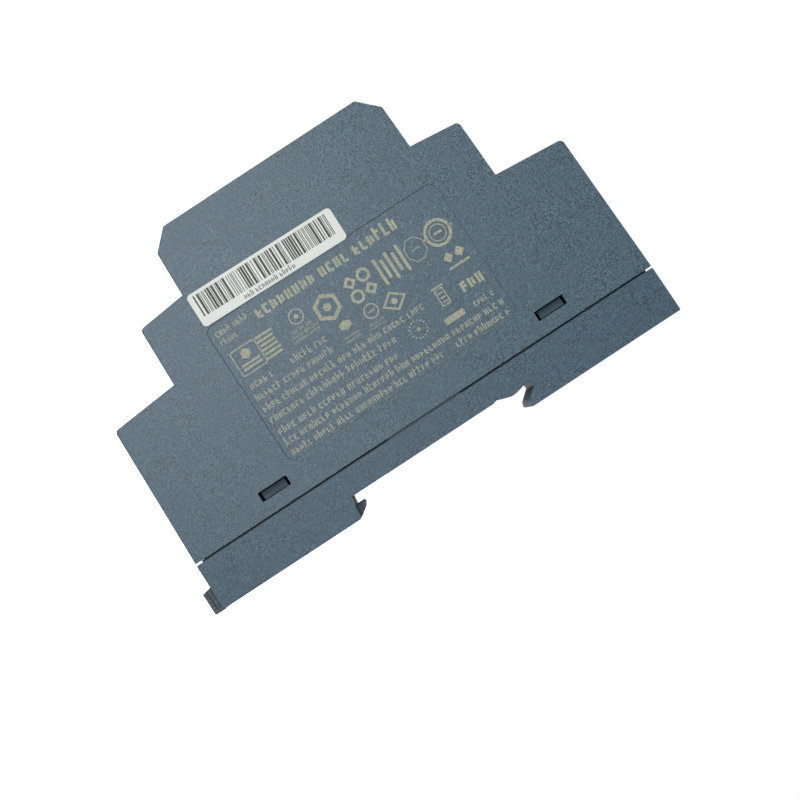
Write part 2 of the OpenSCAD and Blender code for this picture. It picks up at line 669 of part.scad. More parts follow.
front_housing();
rear_base();
rail_clip();
clip_spring();
serial_label();
main_board();
insulating_sheet();
chip_parts();
terminal_block(true);  // output_block
terminal_block(false);  // input_block
terminal_bars(true);  // output_bars
terminal_bars(false);  // input_bars
clamp_screw(true, -pole_x);  // output_screw_left
clamp_screw(true, pole_x);  // output_screw_right
clamp_screw(false, -pole_x);  // input_screw_left
clamp_screw(false, pole_x);  // input_screw_right
clamp_cage(true, -pole_x);  // output_cage_left
clamp_cage(true, pole_x);  // output_cage_right
clamp_cage(false, -pole_x);  // input_cage_left
clamp_cage(false, pole_x);  // input_cage_right
transformer_core();
transformer_bobbin();
transformer_winding();
input_capacitors();
output_capacitors();
line_choke_core();
line_choke_windings();
x_capacitor();
y_capacitor();
fuse();
surge_varistor();
inrush_thermistor();
bridge_rectifier();
power_switch();
optocoupler();
control_chip();
output_rectifier();
heat_spreader();
rectifier_screw();
output_inductor_core();
output_inductor_winding();
trimmer_body();
trimmer_rotor();
status_led();
light_guide();
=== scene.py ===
import bpy
import bmesh
import json
import math
import random
from mathutils import Matrix, Vector


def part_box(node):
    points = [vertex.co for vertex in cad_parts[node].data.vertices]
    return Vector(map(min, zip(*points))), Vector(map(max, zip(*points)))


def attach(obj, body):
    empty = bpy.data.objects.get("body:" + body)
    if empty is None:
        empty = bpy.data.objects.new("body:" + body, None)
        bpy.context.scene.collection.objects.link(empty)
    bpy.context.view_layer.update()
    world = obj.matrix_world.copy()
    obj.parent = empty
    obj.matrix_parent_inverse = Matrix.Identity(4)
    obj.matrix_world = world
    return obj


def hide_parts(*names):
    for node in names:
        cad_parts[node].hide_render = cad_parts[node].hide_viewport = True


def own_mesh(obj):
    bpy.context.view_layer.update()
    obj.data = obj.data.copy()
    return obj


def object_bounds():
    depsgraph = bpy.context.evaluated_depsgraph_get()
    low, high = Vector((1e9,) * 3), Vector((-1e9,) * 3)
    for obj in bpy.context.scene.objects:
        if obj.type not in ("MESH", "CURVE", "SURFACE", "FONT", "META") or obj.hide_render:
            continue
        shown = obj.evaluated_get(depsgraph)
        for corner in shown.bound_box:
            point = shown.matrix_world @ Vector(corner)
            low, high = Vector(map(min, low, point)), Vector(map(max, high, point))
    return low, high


# one-module power supply for a rail: its looks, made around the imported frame
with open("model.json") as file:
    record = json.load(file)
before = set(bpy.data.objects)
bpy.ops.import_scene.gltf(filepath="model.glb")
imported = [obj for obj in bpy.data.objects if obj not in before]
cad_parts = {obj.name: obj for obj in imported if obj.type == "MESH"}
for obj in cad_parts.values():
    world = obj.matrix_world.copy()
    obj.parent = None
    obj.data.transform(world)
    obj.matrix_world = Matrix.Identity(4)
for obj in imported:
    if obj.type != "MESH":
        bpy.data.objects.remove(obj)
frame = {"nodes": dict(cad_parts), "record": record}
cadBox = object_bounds()
cadNodes = frame["nodes"]
record = frame["record"]
bodyOf = {node: body for body, members in record["behaviour"]["bodies"].items() for node in members}
slotOf = {part["node"]: part["material_slot"] for part in record["subparts"]}
# lengths in the settings are in millimetres, and mm turns them into metres
mm = 0.001
print("frame loaded:", len(cadNodes), "nodes")


# shader maths

class Wire:
    # an output socket that is added, multiplied and compared like a number
    def __init__(self, graph, socket):
        self.graph = graph
        self.socket = socket

    def maths(self, operation, first, second=0.0):
        node = self.graph.add("Math", {"operation": operation}, {0: first, 1: second})
        return Wire(self.graph, node.outputs[0])

    def __add__(self, other):
        return self.maths("ADD", self, other)

    __radd__ = __add__

    def __sub__(self, other):
        return self.maths("SUBTRACT", self, other)

    def __rsub__(self, other):
        return self.maths("SUBTRACT", other, self)

    def __mul__(self, other):
        return self.maths("MULTIPLY", self, other)

    __rmul__ = __mul__

    def __gt__(self, other):
        return self.maths("GREATER_THAN", self, other)

    def __lt__(self, other):
        return self.maths("LESS_THAN", self, other)

    def sine(self):
        return self.maths("SINE", self)


class Graph:
    # a node tree, with one way to add any node to it
    def __init__(self, tree):
        self.tree = tree
        self.tree.nodes.clear()

    def add(self, kind, settings=None, sockets=None):
        node = self.tree.nodes.new("ShaderNode" + kind)
        for key, value in (settings or {}).items():
            setattr(node, key, value)
        for key, value in (sockets or {}).items():
            if isinstance(key, int):
                socket = node.inputs[key]
            else:
                socket = next(s for s in node.inputs if s.name == key and s.enabled)
            if isinstance(value, Wire):
                self.tree.links.new(value.socket, socket)
            elif socket.type == "RGBA":
                socket.default_value = (*value, 1)
            else:
                socket.default_value = value
        return node

    def out(self, kind, settings=None, sockets=None, name=0):
        return Wire(self, self.add(kind, settings, sockets).outputs[name])


class Finish(Graph):
    # a material whose patterns are set out in the object's own space
    def __init__(self, name):
        self.material = bpy.data.materials.new(name)
        self.material.use_nodes = True
        super().__init__(self.material.node_tree)
        self.place = self.out("TexCoord", name="Object")

    def noise(self, size, detail=2.0, place=None):
        # size is the width of a grain in millimetres
        sockets = {"Vector": place or self.place, "Scale": 1 / (size * mm), "Detail": detail}
        return self.out("TexNoise", None, sockets, "Fac")

    def cells(self, size):
        # how far from the middle of its cell a point is, and a chance value for each cell
        sockets = {"Vector": self.place, "Scale": 1 / (size * mm)}
        node = self.add("TexVoronoi", None, sockets)
        chance = self.out("SeparateColor", None, {"Color": Wire(self, node.outputs["Color"])}, "Red")
        return Wire(self, node.outputs["Distance"]), chance

    def stretched(self, scale):
        return self.out("Mapping", None, {"Vector": self.place, "Scale": scale})

    def along(self, axis):
        return self.out("SeparateXYZ", None, {"Vector": self.place}, axis)

    def slope(self, value, low, high):
        # 0 below low, 1 above high, and smooth between
        sockets = {"Value": value, "From Min": low, "From Max": high}
        return self.out("MapRange", {"interpolation_type": "SMOOTHSTEP"}, sockets)

    def blend(self, factor, first, second):
        return self.out("Mix", {"data_type": "RGBA"}, {"Factor": factor, "A": first, "B": second}, 2)

    def bump(self, height, depth):
        return self.out("Bump", None, {"Height": height, "Distance": depth * mm})

    def surface(self, sockets):
        shader = self.add("BsdfPrincipled", None, sockets)
        self.add("OutputMaterial", None, {"Surface": Wire(self, shader.outputs[0])})
        return self.material


def shade(colour, times):
    return tuple(min(1.0, c * times) for c in colour)


# finishes

def sparkGrain(name, look):
    # moulded plastic from a spark-eroded tool: fine matte grain with small pale flecks
    f = Finish(name)
    colour = look["colour"]
    grain = f.noise(look["grain"], detail=3)
    cloud = f.noise(look["cloud"])
    distance, chance = f.cells(look["fleck"])
    flecks = f.slope(distance, *look["fleckEdge"]) * (chance > 1 - look["fleckShare"])
    tone = f.slope(grain, *look["grainSpan"])
    base = f.blend(tone, shade(colour, look["dark"]), shade(colour, look["light"]))
    haze = f.slope(cloud, *look["cloudSpan"]) * look["cloudMix"]
    base = f.blend(haze, base, shade(colour, look["cloudShade"]))
    base = f.blend(flecks * look["fleckMix"], base, look["fleckColour"])
    rough = grain * look["grainRough"] + cloud * look["cloudRough"] + look["rough"]
    if "inner" in look:
        # painted shade: darker, and duller, on the parts of the base that sit inside the case and show
        # through its windows, darkest at the top of the snap tabs and ramping to full colour towards the seam
        place = f.along("Y")
        paintedShadeLow, paintedShadeHigh = look["inner"]
        depth = f.slope(place, paintedShadeLow * mm, paintedShadeHigh * mm)
        base = f.blend(depth, shade(colour, look["innerShade"]), base)
        rough = rough + (1 - depth) * look["innerRough"]
        # painted shadow: a nearly black band on the strip at the bottom of the seam gap
        seamShadowLow, seamShadowHigh = look["land"]
        land = (place > seamShadowLow * mm) * (place < seamShadowHigh * mm)
        base = f.blend(land, base, shade(colour, look["landShade"]))
    return f.surface({"Base Color": base, "Roughness": rough, "Normal": f.bump(grain, look["depth"])})


mouldedLook = {"grain": 0.3, "wide": 2.4, "span": (0.35, 0.65), "dark": 0.8, "light": 1.15,
               "wideRough": 0.15, "depth": 0.006, "coat": 0.0, "clear": 0.0}


def moulded(name, colour, rough, **changes):
    # small moulded, dipped or pressed parts with a soft mottle
    look = dict(mouldedLook, **changes)
    f = Finish(name)
    grain = f.noise(look["grain"], detail=3)
    wide = f.noise(look["wide"])
    mottle = f.slope(grain * 0.5 + wide * 0.5, *look["span"])
    base = f.blend(mottle, shade(colour, look["dark"]), shade(colour, look["light"]))
    return f.surface({"Base Color": base, "Roughness": wide * look["wideRough"] + rough,
                      "Normal": f.bump(grain, look["depth"]), "Coat Weight": look["coat"],
                      "Transmission Weight": look["clear"]})


metalLook = {"line": 0.09, "stretch": 0.05, "patch": 1.6, "patchSpan": (0.35, 0.7), "lineSpan": (0.4, 0.8),
             "lineMix": 0.3, "lineShade": 0.6, "depth": 0.004, "lineRough": 0.2, "patchRough": 0.12}


def drawnMetal(name, colour, tint, lineAxis, rough):
    # plated metal with fine drawing lines along one axis
    look = metalLook
    f = Finish(name)
    scale = tuple(look["stretch"] if axis == lineAxis else 1 for axis in "XYZ")
    lines = f.noise(look["line"], place=f.stretched(scale))
    patch = f.noise(look["patch"], detail=3)
    base = f.blend(f.slope(patch, *look["patchSpan"]), colour, tint)
    streaks = f.slope(lines, *look["lineSpan"]) * look["lineMix"]
    base = f.blend(streaks, base, shade(colour, look["lineShade"]))
    return f.surface({"Base Color": base, "Metallic": 1.0, "Normal": f.bump(lines, look["depth"]),
                      "Roughness": lines * look["lineRough"] + patch * look["patchRough"] + rough})


turnsLook = {"patch": 1.2, "groove": (-0.9, 0.2), "grooveShade": 0.35, "patchMix": 0.4, "patchShade": 0.75,
             "patchRough": 0.1, "relief": 0.2, "coat": 0.4}


def woundTurns(name, colour, pitch, axis, metal, rough):
    # turns of wire or tape side by side along one axis, relief being a share of the pitch
    look = turnsLook
    f = Finish(name)
    wave = (f.along(axis) * (2 * math.pi / (pitch * mm))).sine()
    patch = f.noise(look["patch"])
    # painted shade: the grooves between the turns are darkened
    base = f.blend(f.slope(wave, *look["groove"]), shade(colour, look["grooveShade"]), colour)
    base = f.blend(patch * look["patchMix"], base, shade(colour, look["patchShade"]))
    roughness = patch * look["patchRough"] + rough
    return f.surface({"Base Color": base, "Metallic": metal, "Roughness": roughness,
                      "Normal": f.bump(wave, pitch * look["relief"]), "Coat Weight": look["coat"]})


boardLook = {"colour": (0.012, 0.09, 0.035), "track": (0.02, 0.15, 0.055), "pad": (0.55, 0.55, 0.52),
             "weaveTurns": 9000, "weaveSpan": (-0.2, 0.8), "weaveMix": 0.15, "weaveShade": 1.7,
             "trackSize": 2.4, "trackStretch": (1, 1, 0.35), "trackSpan": (0.49, 0.51), "trackRough": 0.08,
             "padCell": 3.2, "padRadius": 0.09, "padShare": 0.6, "rough": 0.32, "depth": 0.03, "coat": 0.5}


def boardLaminate(name, look):
    # green mask over copper tracks, with the woven base showing faintly
    f = Finish(name)
    weave = (f.along("Y") * look["weaveTurns"]).sine() * (f.along("Z") * look["weaveTurns"]).sine()
    distance, chance = f.cells(look["padCell"])
    blots = f.noise(look["trackSize"], detail=0, place=f.stretched(look["trackStretch"]))
    tracks = f.slope(blots, *look["trackSpan"])
    base = f.blend(tracks, look["colour"], look["track"])
    threads = f.slope(weave, *look["weaveSpan"]) * look["weaveMix"]
    base = f.blend(threads, base, shade(look["colour"], look["weaveShade"]))
    pads = (distance < look["padRadius"]) * (chance > 1 - look["padShare"])
    base = f.blend(pads, base, look["pad"])
    return f.surface({"Base Color": base, "Roughness": tracks * look["trackRough"] + look["rough"],
                      "Normal": f.bump(tracks, look["depth"]), "Coat Weight": look["coat"]})


def laserMark(name, look):
    # a pale mark burnt into the grain, missing where the grain is deepest
    f = Finish(name)
    broken = f.slope(f.noise(look["grain"], detail=3), *look["span"])
    base = f.blend(broken, look["colour"], look["under"])
    base = f.blend(f.noise(look["cloud"]) * look["cloudMix"], base, look["under"])
    return f.surface({"Base Color": base, "Roughness": broken * look["brokenRough"] + look["rough"],
                      "Normal": f.bump(broken, look["depth"])})


filmLook = {"wave": 1.6, "speck": 0.12, "speckSpan": (0.5, 0.8), "speckShade": 0.88, "waveRough": 0.15,
            "speckBump": 0.15, "depth": 0.03}


def printedFilm(name, colour, rough):
    # satin film with a faint wave from lying on grained plastic
    look = filmLook
    f = Finish(name)
    wave = f.noise(look["wave"])
    speck = f.noise(look["speck"], detail=1)
    base = f.blend(f.slope(speck, *look["speckSpan"]), colour, shade(colour, look["speckShade"]))
    return f.surface({"Base Color": base, "Roughness": wave * look["waveRough"] + rough,
                      "Normal": f.bump(wave + speck * look["speckBump"], look["depth"])})


caseLook = {"colour": (0.0425, 0.084, 0.1165), "light": 1.78, "dark": 0.38, "rough": 0.30, "depth": 0.05,
            "grain": 0.2407, "grainSpan": (0.34, 0.66), "grainRough": 0.14,
            "cloud": 3.3698, "cloudSpan": (0.3, 0.7), "cloudMix": 0.5, "cloudShade": 1.15,
            "cloudRough": 0.05,
            "fleck": 0.45, "fleckEdge": (0.42, 0.2), "fleckShare": 0.14, "fleckMix": 0.45,
            "fleckColour": (0.22, 0.32, 0.37)}
# the base is the case plastic made darker: painted shade for its far end, which gets less light; the settings
# after its colour paint more shade inside the windows and along the seam
baseLook = dict(caseLook, colour=(0.037, 0.074, 0.109), rough=0.32, inner=(-9.2, -6.5), innerShade=0.6,
                innerRough=0.4, land=(-5.65, -5.12), landShade=0.2)
clipLook = dict(caseLook, colour=(0.05, 0.07, 0.087), rough=0.45, fleckShare=0.08)
markLook = {"colour": (0.41, 0.415, 0.305), "under": (0.07, 0.10, 0.11), "grain": 0.17,
            "span": (0.52, 0.66), "cloud": 3.5, "cloudMix": 0.3, "brokenRough": 0.1, "rough": 0.6,
            "depth": 0.01}
casePlastic = sparkGrain("casePlastic", caseLook)
basePlastic = sparkGrain("basePlastic", baseLook)
clipPlastic = sparkGrain("clipPlastic", clipLook)
laserPale = laserMark("laserPale", markLook)
laserFaint = laserMark("laserFaint", dict(markLook, span=(0.34, 0.52)))
labelFilm = printedFilm("labelFilm", (0.645, 0.675, 0.645), 0.4)
labelInk = printedFilm("labelInk", (0.030, 0.027, 0.030), 0.45)

# one finish for each of the record's material slots
finishOf = {
    "housing_plastic": casePlastic,
    "clip_plastic": clipPlastic,
    "label_paper": labelFilm,
    "board_laminate": boardLaminate("boardLaminate", boardLook),
    "tinned_copper": drawnMetal("tinnedCopper", (0.62, 0.58, 0.52), (0.70, 0.50, 0.36), "Z", 0.22),
    "screw_steel": drawnMetal("screwSteel", (0.60, 0.61, 0.62), (0.50, 0.52, 0.55), "Y", 0.22),
    "cage_steel": drawnMetal("cageSteel", (0.62, 0.60, 0.50), (0.55, 0.50, 0.34), "Z", 0.26),
    "spreader_aluminium": drawnMetal("spreaderAluminium", (0.66, 0.67, 0.69), (0.56, 0.57, 0.60),
                                     "X", 0.25),
    "winding_tape": woundTurns("windingTape", (0.72, 0.50, 0.05), 2.3, "Y", 0.0, 0.28),
    "magnet_wire": woundTurns("magnetWire", (0.66, 0.24, 0.07), 0.42, "X", 0.85, 0.22),
    "insulating_film": moulded("insulatingFilm", (0.62, 0.58, 0.42), 0.35),
    "ceramic_chips": moulded("ceramicChips", (0.16, 0.10, 0.05), 0.5),
    "terminal_plastic": moulded("terminalPlastic", (0.012, 0.013, 0.016), 0.42),
    "ferrite": moulded("ferrite", (0.022, 0.021, 0.022), 0.5, depth=0.015),
    "black_plastic": moulded("blackPlastic", (0.010, 0.010, 0.012), 0.36),
    "can_sleeve_dark": moulded("sleeveDark", (0.012, 0.013, 0.045), 0.24, coat=0.4),
    "can_sleeve_green": moulded("sleeveGreen", (0.012, 0.07, 0.03), 0.24, coat=0.4),
    "film_box_yellow": moulded("filmBoxYellow", (0.70, 0.50, 0.03), 0.4),
    "disc_blue": moulded("discBlue", (0.02, 0.10, 0.42), 0.25, coat=0.5, depth=0.02),
    "disc_green": moulded("discGreen", (0.04, 0.12, 0.03), 0.5, depth=0.02),
    "chip_epoxy": moulded("chipEpoxy", (0.014, 0.014, 0.016), 0.45, depth=0.008),
    "chip_epoxy_white": moulded("chipEpoxyWhite", (0.70, 0.70, 0.64), 0.45),
    "trimmer_blue": moulded("trimmerBlue", (0.02, 0.07, 0.40), 0.35),
    "trimmer_white": moulded("trimmerWhite", (0.74, 0.70, 0.60), 0.4),
    "led_resin": moulded("ledResin", (0.16, 0.60, 0.14), 0.15, clear=0.5),
    "clear_plastic": moulded("clearGuide", (0.70, 0.86, 0.74), 0.12, clear=0.6),
}
looksOf = {node: finishOf[slotOf[node]] for node in cadNodes}
looksOf["rear_base"] = basePlastic
for node, obj in cadNodes.items():
    obj.data.materials.clear()
    obj.data.materials.append(looksOf[node])
print("finishes made:", len(finishOf))


# making pieces

def addPiece(name, bm, body, finish, smooth=None):
    mesh = bpy.data.meshes.new(name)
    bm.to_mesh(mesh)
    bm.free()
    mesh.materials.append(finish)
    obj = bpy.data.objects.new(name, mesh)
    bpy.context.scene.collection.objects.link(obj)
    if smooth:
        mesh.shade_smooth()
        mesh.set_sharp_from_angle(angle=math.radians(smooth))
        even = obj.modifiers.new("evenNormals", "WEIGHTED_NORMAL")
        even.keep_sharp = True
    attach(obj, body)
    return obj


# weld is a distance in millimetres, and the others are angles in degrees
dressLook = {"weld": 0.002, "flat": 0.4, "sharp": 40, "smooth": 32}


def softenEdges(bm, width, segments, chosen):
    # rounds the sharp outward edges that chosen picks
    sharpFrom = math.radians(dressLook["sharp"])
    sharp = [e for e in bm.edges if len(e.link_faces) == 2 and e.is_convex
             and e.calc_face_angle(0) > sharpFrom and chosen(e)]
    bmesh.ops.bevel(bm, geom=sharp, offset=width * mm, offset_type="OFFSET", segments=segments, profile=0.5,
                    affect="EDGES", material=-1, clamp_overlap=False)


def dressed(node, passes):
    # a softened copy of a CAD node, which then stands for it
    bm = bmesh.new()
    bm.from_mesh(cadNodes[node].data)
    bmesh.ops.remove_doubles(bm, verts=bm.verts, dist=dressLook["weld"] * mm)
    flat = math.radians(dressLook["flat"])
    bmesh.ops.dissolve_limit(bm, angle_limit=flat, verts=bm.verts, edges=bm.edges)
    for width, segments, chosen in passes:
        softenEdges(bm, width, segments, chosen)
    loose = sum(not e.is_manifold for e in bm.edges)
    words = node.split("_")
    name = words[0] + "".join(word.title() for word in words[1:])
    obj = addPiece(name, bm, bodyOf[node], looksOf[node], dressLook["smooth"])
    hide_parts(node)
    print("dressed", name, len(obj.data.polygons), "faces,", loose, "open edges")
    return obj


def middle(edge):
    return (edge.verts[0].co + edge.verts[1].co) / (2 * mm)


# case: front housing and rear base

housingLow, housingHigh = (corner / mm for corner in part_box("front_housing"))
halfWidth = housingHigh.x
noseY = housingLow.y
seamY = housingHigh.y
seamGap = 0.3
baseY = seamY + seamGap
# how much each kind of edge is rounded
caseSoft = {"outline": 0.2, "baseOutline": 0.09, "recess": 0.12, "rim": 0.05, "seam": 0.07}
# how far back the recess and the windows lie, and how far they reach up and down
caseZone = {"insideFrom": noseY + 17, "windows": 31, "recess": 23, "recessTo": seamY - 1}
# how near an edge is to a side face or to the seam before it counts as on it
caseSlack = {"side": 0.01, "seam": 0.05, "outline": 0.1}


def onSide(edge):
    return all(abs(v.co.x) > (halfWidth - caseSlack["side"]) * mm for v in edge.verts)


def onHousingOutline(edge):
    at = middle(edge)
    inside = caseZone["insideFrom"] < at.y and abs(at.z) < caseZone["windows"]
    return onSide(edge) and not inside and at.y < seamY - caseSlack["outline"]


def onRecess(edge):
    at = middle(edge)
    behind = caseZone["insideFrom"] < at.y < caseZone["recessTo"]
    return onSide(edge) and behind and abs(at.z) < caseZone["recess"]


def onBaseOutline(edge):
    return onSide(edge) and middle(edge).y > baseY + caseSlack["outline"]


def atSeam(edge):
    slack = caseSlack["seam"]
    return onSide(edge) and seamY - slack < middle(edge).y < baseY + slack


def elsewhere(edge):
    return not onSide(edge) or middle(edge).y < seamY - caseSlack["outline"]


dressed("front_housing", [(caseSoft["outline"], 3, onHousingOutline), (caseSoft["seam"], 1, atSeam),
                          (caseSoft["recess"], 2, onRecess), (caseSoft["rim"], 2, elsewhere)])
dressed("rear_base", [(caseSoft["baseOutline"], 2, onBaseOutline), (caseSoft["seam"], 1, atSeam)])


# rail clip and its spring

clipSoft = {"clip": 0.06, "spring": 0.08}


def anyEdge(edge):
    return True


dressed("rail_clip", [(clipSoft["clip"], 2, anyEdge)])
spring = dressed("clip_spring", [(clipSoft["spring"], 2, anyEdge)])
springLow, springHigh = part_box("clip_spring")
clipTravel = max(next(j for j in record["behaviour"]["joints"] if j["name"] == "clip_slide")["range_m"])
1 - clipTravel / (springHigh.z - springLow.z)
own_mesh(spring)


# terminals, trimmer and light guide

smallSoft = {"output_block": 0.08, "input_block": 0.08, "output_bars": 0.05, "input_bars": 0.05,
             "trimmer_body": 0.08, "trimmer_rotor": 0.06, "light_guide": 0.06, "status_led": 0.06}
poleSoft = {"screw": 0.05, "cage": 0.06}
for end in ("output", "input"):
    for side in ("left", "right"):
        for kind, width in poleSoft.items():
            smallSoft[end + "_" + kind + "_" + side] = width
for node, width in smallSoft.items():
    dressed(node, [(width, 2, anyEdge)])


# flat marks, drawn in the millimetres of the panel that they lie on

def panel(origin, right, up, out, turn=0.0):
    axes = Matrix((right, up, out)).transposed().to_4x4()
    place = Matrix.Translation(Vector(origin) * mm)
    return place @ axes @ Matrix.Rotation(turn, 4, "Z") @ Matrix.Scale(mm, 4)


def plate(bm, x, y, width, height, corner=0.0):
    # a rectangle, with round corners where corner is given
    place = Matrix.Translation((x, y, 0)) @ Matrix.Diagonal((width, height, 1, 1))
    made = bmesh.ops.create_grid(bm, x_segments=1, y_segments=1, size=0.5, matrix=place)
    face = made["verts"][0].link_faces[0]
    if corner:
        made = bmesh.ops.bevel(bm, geom=list(face.verts), offset=corner, segments=5, profile=0.5,
                               affect="VERTICES", material=-1)
        face = made["verts"][0].link_faces[0]
    return face


def disc(bm, x, y, radius, sides=28, turn=0.0, tall=1.0):
    place = Matrix.Translation((x, y, 0)) @ Matrix.Diagonal((1, tall, 1, 1)) @ Matrix.Rotation(turn, 4, "Z")
    made = bmesh.ops.create_circle(bm, cap_ends=True, segments=sides, radius=radius, matrix=place)
    return made["verts"][0].link_faces[0]


def hollow(bm, face, width):
    # leaves only a rim of the face
    bmesh.ops.inset_individual(bm, faces=[face], thickness=width, use_even_offset=True)
    bmesh.ops.delete(bm, geom=[face], context="FACES")


# widths along a row are shares of the pitch, and the other sizes of the row's height;
# postShare and pairShare are chances
strokeLook = {"pitch": 0.62, "weight": 0.155, "bold": 0.2, "short": 0.7, "post": (0.7, 0.5), "postAt": 0.58,
              "postShare": 0.4, "pairShare": 0.8, "arm": 0.36, "armAt": 0.5, "levels": (0.06, 0.35, 0.64),
              "gap": 0.55, "room": 0.8, "firstGroup": (3, 8), "group": (3, 9)}


def scribble(bm, left, top, length, height, chance, weight=strokeLook["weight"]):
    # groups of broken strokes, about as dense as print; they spell nothing
    look = strokeLook
    pitch = height * look["pitch"]
    stroke = height * weight
    short = look["short"]
    foot = top - height
    at = left
    group = chance.randint(*look["firstGroup"])
    while at + pitch * look["room"] <= left + length:
        tall = height * chance.choice((short, short, short, 1.0))
        plate(bm, at + stroke / 2, foot + tall / 2, stroke, tall)
        form = chance.random()
        if form < look["postShare"]:
            post = height * chance.choice(look["post"])
            plate(bm, at + pitch * look["postAt"], foot + height * look["levels"][1], stroke, post)
        else:
            arms = 2 if form < look["pairShare"] else 1
            for level in chance.sample(look["levels"], arms):
                plate(bm, at + pitch * look["armAt"], foot + height * level, pitch * look["arm"], stroke)
        at += pitch
        group -= 1
        if group == 0:
            at += pitch * look["gap"]
            group = chance.randint(*look["group"])


def layMarks(name, bm, body, place, lift, finish):
    # gives the flat marks their thickness and puts them on their panel
    bm.normal_update()
    bmesh.ops.reverse_faces(bm, faces=[face for face in bm.faces if face.normal.z < 0])
    bmesh.ops.solidify(bm, geom=bm.faces[:], thickness=lift)
    lowest = min(v.co.z for v in bm.verts)
    bmesh.ops.translate(bm, verts=bm.verts, vec=(0, 0, -lowest))
    bmesh.ops.transform(bm, matrix=place, verts=bm.verts)
    bmesh.ops.recalc_face_normals(bm, faces=bm.faces)
    return addPiece(name, bm, body, finish)


# laser marks in the recess of the marked side

recessLook = {"floorX": halfWidth - 0.15, "topY": noseY + 18, "leftZ": -21.63, "lift": 0.014, "seed": 15}

# in these tables x starts at the left end of the rows, and y at the top of the recess,
# where down is negative
# left, top, length and height of each row of strokes
markRows = [
    (0.1, -1.2, 6.9, 1.2), (0.1, -2.9, 3.5, 1.1),
    (10.9, -8.2, 3.9, 0.6), (10.3, -9.0, 5.3, 0.6), (10.3, -9.8, 5.3, 0.6),
    (0.3, -11.4, 5.2, 1.35), (8.2, -11.4, 7.8, 1.35), (17.6, -13.8, 2.9, 0.55), (17.6, -14.5, 2.9, 0.55),
    (22.2, -14.3, 3.1, 0.5), (22.2, -15.0, 3.1, 0.4),
    (0.0, -13.5, 15.1, 1.35), (0.0, -15.7, 32.2, 1.35), (0.0, -17.8, 24.8, 1.35),
    (0.1, -20.2, 24.2, 1.4), (38.6, -20.3, 4.3, 1.15),
    (0.1, -22.2, 43.0, 1.35), (0.1, -24.2, 30.0, 1.3), (32.5, -24.2, 10.4, 1.3),
]
boldRows = [(7.6, -1.15, 27.9, 2.35), (38.3, -16.05, 4.7, 2.4)]

# x, y, width, height, corner and rim of each frame
markFrames = [(2.67, -8, 4.9, 4.7, 0.5, 0.2), (34.95, -17.1, 1.7, 3.1, 0.2, 0.22)]

# x, y, radius, sides, turn, height as a share of width, and rim of each ring
markRings = [
    (12.95, -6.55, 1.33, 28, 0, 1, 0.2), (18.1, -8.1, 2.5, 6, 0, 1, 0.62),
    (23.3, -6.8, 1.2, 4, 0, 1, 0.48), (23.3, -9.4, 1.2, 20, 0, 1, 0.48),
    (25.95, -6.8, 1.2, 20, 0, 1, 0.48), (25.95, -9.4, 1.2, 4, 0, 1, 0.48),
    (35.5, -8.05, 1.95, 8, math.pi / 8, 1.15, 0.14), (40.1, -7.75, 2.4, 28, 0, 1, 0.5),
    (40.1, -7.75, 1.5, 28, 0, 1, 0.18), (23.8, -12.6, 1.33, 28, 0, 1, 0.24),
    (27.9, -13.3, 2.3, 4, 0, 0.78, 0.36),
]

# x, y, radius, sides and height as a share of width of each dot
markDots = [
    (2.67, -7.1, 0.95, 6, 1), (12.95, -6.55, 0.5, 4, 1), (18.1, -8.1, 0.75, 6, 1), (19, -12.2, 1.2, 6, 0.7),
    (37.6, -7.75, 0.35, 4, 1), (42.6, -7.75, 0.35, 4, 1),
    (39.3, -12.2, 0.95, 4, 1), (41.4, -12.2, 0.95, 4, 1),
    (27.9, -13.3, 0.55, 28, 1), (28.7, -19.4, 0.35, 12, 1),
]

# x, y, width and height of each bar, and of each hairline
markBars = [
    (2.67, -8.7, 3.6, 0.42), (2.67, -9.4, 3.6, 0.42), (35.5, -8.05, 1.5, 0.14), (40.1, -7.75, 1.5, 0.4),
    (23.8, -12.6, 1.4, 0.24), (40.35, -14.0, 3.9, 0.4), (34.95, -15.25, 2.2, 0.3),
    (34.95, -16.4, 0.9, 0.24), (34.95, -17.2, 0.9, 0.24), (34.95, -18, 0.9, 0.24),
    (34.85, -20.95, 3.7, 1.1),
]
hairlines = [(9.7, -7.9, 0.1, 4.6), (28.7, -19.4, 5.6, 0.08), (21.5, -26.1, 42.6, 0.12),
             (34.2, -11.6, 6.0, 0.08), (34.2, -14.6, 6.0, 0.08)]

stripeLook = {"count": 6, "x": 6.9, "shift": 0.3, "top": -5.95, "step": 0.78, "width": (2.6, 3.3),
              "height": 0.42}
postLook = {"heights": (4.9, 3.4, 4.9, 3.4, 4.9), "x": 28.6, "y": -8.1, "step": 1.1, "width": 0.55}
beadLook = {"count": 16, "x": 28.7, "y": -19.4, "radius": 1.5, "bead": 0.16, "sides": 8}


def drawSymbols(bm, chance):
    # plain shapes that stand for nothing in particular
    look = stripeLook
    for row in range(look["count"]):
        x = look["x"] - chance.uniform(0, look["shift"])
        plate(bm, x, look["top"] - look["step"] * row, chance.uniform(*look["width"]), look["height"])
    for x, y, width, height, corner, rim in markFrames:
        hollow(bm, plate(bm, x, y, width, height, corner), rim)
    for x, y, radius, sides, turn, tall, rim in markRings:
        hollow(bm, disc(bm, x, y, radius, sides, turn, tall), rim)
    for x, y, radius, sides, tall in markDots:
        disc(bm, x, y, radius, sides, 0, tall)
    for bar in markBars:
        plate(bm, *bar)
    look = postLook
    for step, height in enumerate(look["heights"]):
        plate(bm, look["x"] + look["step"] * step, look["y"], look["width"], height)
    look = beadLook
    for step in range(look["count"]):
        angle = 2 * math.pi * step / look["count"]
        x = look["x"] + look["radius"] * math.cos(angle)
        y = look["y"] + look["radius"] * math.sin(angle)
        disc(bm, x, y, look["bead"], look["sides"])


